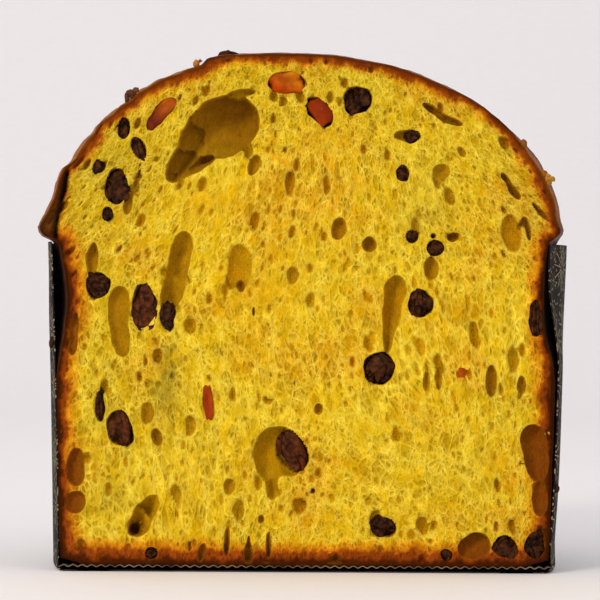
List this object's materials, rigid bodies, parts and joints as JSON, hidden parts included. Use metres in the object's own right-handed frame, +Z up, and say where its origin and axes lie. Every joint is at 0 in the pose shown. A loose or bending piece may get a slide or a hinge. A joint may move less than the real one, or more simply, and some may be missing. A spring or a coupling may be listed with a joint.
{
  "type": "panettone",
  "caption": "Tall domed sweet bread with raisins and candied peel, cut upright to show its open crumb, in a dark paper baking mould.",
  "frame": {"origin": "middle of the whole mould's underside, where the round mould's axis meets the surface that it stands on", "axes": "+Z up along the mould's axis; the cut face looks along -Y, 22 mm in front of the axis; +X to the right as the cut face is seen"},
  "size_m": [0.1734, 0.1081, 0.1683],
  "materials": {
    "baked_bread": "open soft crumb behind a thin deep brown crust, satin where the crust was brushed",
    "dark_baking_paper": "dark brown coated paper with a pale gold print of stars and dots",
    "fluted_baking_paper": "uncoated fluted paper with pale cut edges",
    "raisin_skin": "wrinkled, half glossy",
    "candied_peel": "translucent, sugary gloss"
  },
  "bodies": {
    "root": {"loaf": "baked_bread", "mould_base_disc": "dark_baking_paper", "mould_fluted_disc": "fluted_baking_paper", "mould_side_band": "dark_baking_paper", "peel_low_left": "candied_peel", "peel_low_right": "candied_peel", "peel_peak_long": "candied_peel", "peel_peak_square": "candied_peel", "peel_upper_left": "candied_peel", "raisin_base_left": "raisin_skin", "raisin_base_right": "raisin_skin", "raisin_centre_low": "raisin_skin", "raisin_centre_right": "raisin_skin", "raisin_corner_right": "raisin_skin", "raisin_crown": "raisin_skin", "raisin_dome_left": "raisin_skin", "raisin_dome_left_edge": "raisin_skin", "raisin_dome_right": "raisin_skin", "raisin_dome_right_high": "raisin_skin", "raisin_edge_right": "raisin_skin", "raisin_foot_centre": "raisin_skin", "raisin_foot_right": "raisin_skin", "raisin_low_left": "raisin_skin", "raisin_low_left_thin": "raisin_skin", "raisin_middle_left": "raisin_skin", "raisin_middle_left_small": "raisin_skin", "raisin_middle_right": "raisin_skin", "raisin_peak": "raisin_skin", "raisin_shoulder_left": "raisin_skin", "raisin_side_left": "raisin_skin", "raisin_upper_left": "raisin_skin", "raisin_upper_left_small": "raisin_skin", "raisin_upper_right": "raisin_skin", "raisin_upper_right_small": "raisin_skin"}
  },
  "joints": []
}
